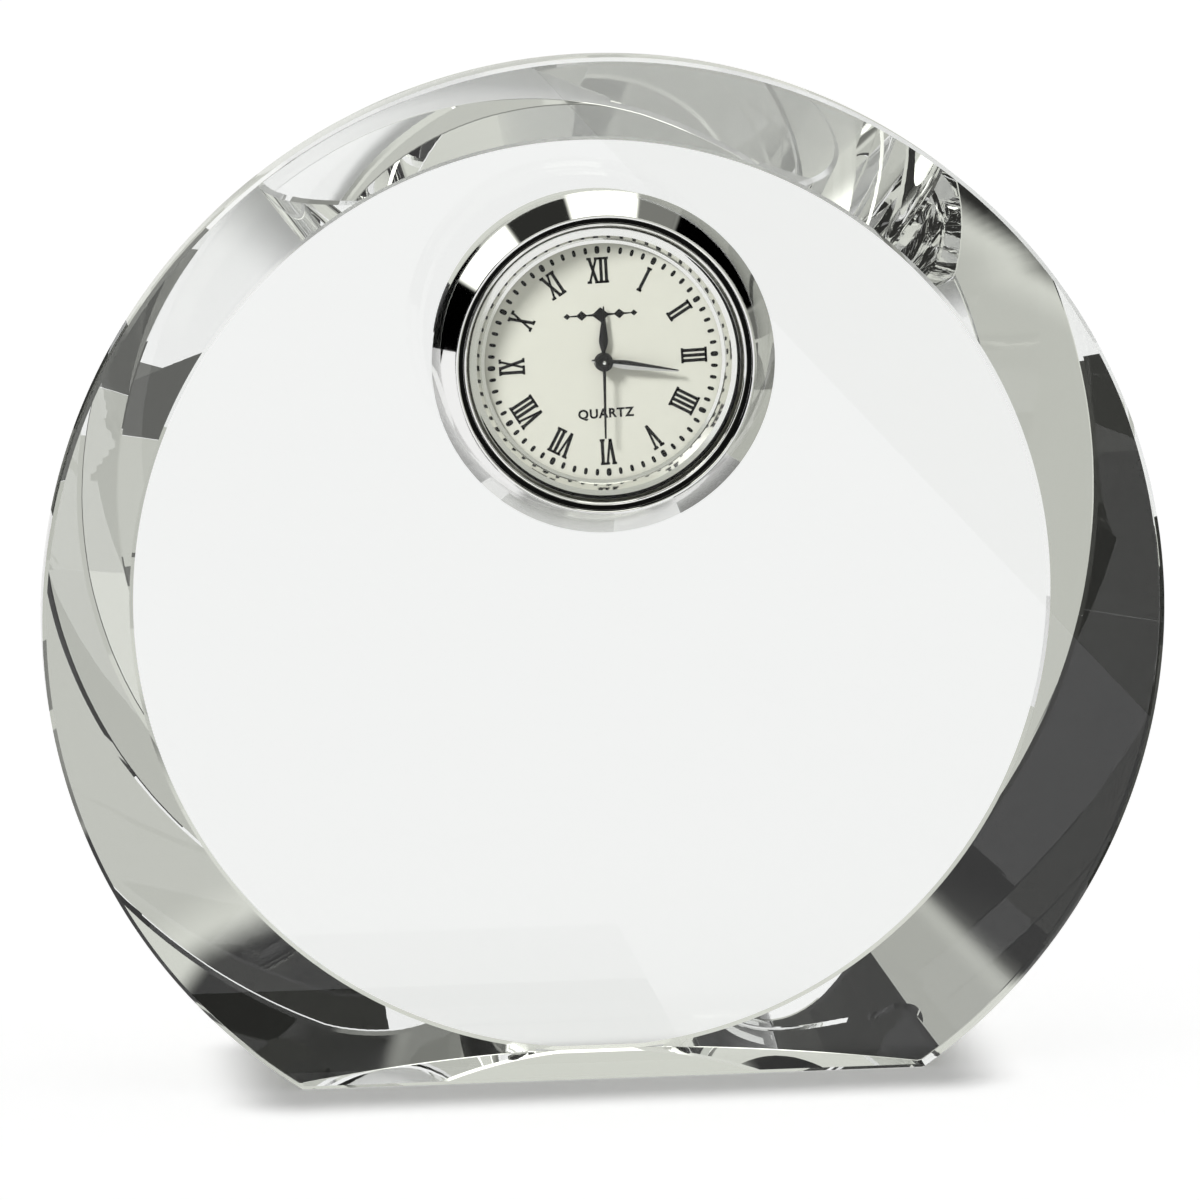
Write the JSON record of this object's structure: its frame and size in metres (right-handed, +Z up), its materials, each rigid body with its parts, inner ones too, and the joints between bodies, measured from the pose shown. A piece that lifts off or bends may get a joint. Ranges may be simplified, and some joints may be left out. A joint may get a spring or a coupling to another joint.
{
  "type": "crystal desk clock",
  "caption": "Round clear glass block with a flat base, a bevelled back and a small round quartz clock pressed into a hole near its top.",
  "frame": {"origin": "middle of the flat base face, in the middle of the block's thickness", "axes": "+Z up; the dial faces -Y; +X is to the right of someone who reads the dial"},
  "size_m": [0.12, 0.0284, 0.1098],
  "materials": {
    "crystal": "clear polished optical glass, very slight grey-green tint",
    "lens_glass": "clear flat mineral glass",
    "chrome": "bright chrome plate",
    "reflector": "bright chrome plate on a thin sloping ring",
    "dial": "warm white satin print ground",
    "hand_black": "black lacquer",
    "steel": "plain turned steel",
    "brass": "plain brass",
    "copper": "enamelled copper wire",
    "iron": "annealed magnetic iron sheet",
    "magnet": "dark sintered magnet on a steel arbor",
    "black_plastic": "matt moulded plastic",
    "white_plastic": "matt moulded acetal",
    "rubber": "soft black rubber",
    "board": "green solder mask",
    "epoxy": "black epoxy",
    "battery": "nickel-plated steel can"
  },
  "bodies": {
    "glass": {"crystal_block": "crystal"},
    "insert": {"bezel": "chrome", "lens": "lens_glass", "reflector_ring": "reflector", "dial": "dial", "dial_washer": "brass", "insert_case": "steel", "grip_ring": "rubber", "back_cover": "black_plastic", "main_plate": "white_plastic", "train_bridge": "white_plastic", "bridge_screw_1": "steel", "bridge_screw_2": "steel", "bridge_screw_3": "steel", "core_screw_1": "steel", "core_screw_2": "steel", "board_screw": "steel", "stator": "iron", "coil_core": "iron", "coil_bobbin": "black_plastic", "coil_winding": "copper", "circuit_board": "board", "timing_chip": "epoxy", "quartz_can": "steel", "battery": "battery", "battery_contact_minus": "brass", "battery_contact_plus": "brass"},
    "seconds": {"second_wheel": "brass", "second_hand": "hand_black"},
    "rotor": {"rotor": "magnet"},
    "intermediate": {"intermediate_wheel": "white_plastic"},
    "third": {"third_wheel": "white_plastic"},
    "centre": {"centre_wheel": "brass"},
    "minutes": {"cannon_pinion": "steel", "minute_hand": "hand_black"},
    "setting": {"minute_wheel": "brass", "setting_knob": "white_plastic"},
    "hours": {"hour_wheel": "brass", "hour_hand": "hand_black"}
  },
  "joints": [
    {"name": "insert_pull", "type": "slide", "parent": "glass", "child": "insert", "axis": [0, -1, 0], "range_m": [0, 0.025]},
    {"name": "second_hand_turn", "type": "hinge", "parent": "insert", "child": "seconds", "pos_m": [0, -0.0125, 0.0776], "axis": [0, 1, 0], "continuous": true},
    {"name": "rotor_spin", "type": "hinge", "parent": "insert", "child": "rotor", "pos_m": [0.00662, -0.0125, 0.08235], "axis": [0, 1, 0], "continuous": true},
    {"name": "intermediate_spin", "type": "hinge", "parent": "insert", "child": "intermediate", "pos_m": [0.00242, -0.0125, 0.08219], "axis": [0, 1, 0], "continuous": true},
    {"name": "third_spin", "type": "hinge", "parent": "insert", "child": "third", "pos_m": [-0.00468, -0.0125, 0.07569], "axis": [0, 1, 0], "continuous": true},
    {"name": "centre_spin", "type": "hinge", "parent": "insert", "child": "centre", "pos_m": [0, -0.0125, 0.0776], "axis": [0, 1, 0], "continuous": true},
    {"name": "minute_hand_turn", "type": "hinge", "parent": "insert", "child": "minutes", "pos_m": [0, -0.0125, 0.0776], "axis": [0, 1, 0], "continuous": true},
    {"name": "setting_knob_turn", "type": "hinge", "parent": "insert", "child": "setting", "pos_m": [0.00362, -0.0125, 0.07361], "axis": [0, 1, 0], "continuous": true},
    {"name": "hour_hand_turn", "type": "hinge", "parent": "insert", "child": "hours", "pos_m": [0, -0.0125, 0.0776], "axis": [0, 1, 0], "continuous": true}
  ],
  "couplings": [
    {"joint": "rotor_spin", "follows": "second_hand_turn", "ratio": 30},
    {"joint": "intermediate_spin", "follows": "second_hand_turn", "ratio": -6},
    {"joint": "third_spin", "follows": "second_hand_turn", "ratio": -0.125},
    {"joint": "centre_spin", "follows": "second_hand_turn", "ratio": 0.016667},
    {"joint": "setting_knob_turn", "follows": "minute_hand_turn", "ratio": -0.33333},
    {"joint": "hour_hand_turn", "follows": "minute_hand_turn", "ratio": 0.083333}
  ]
}
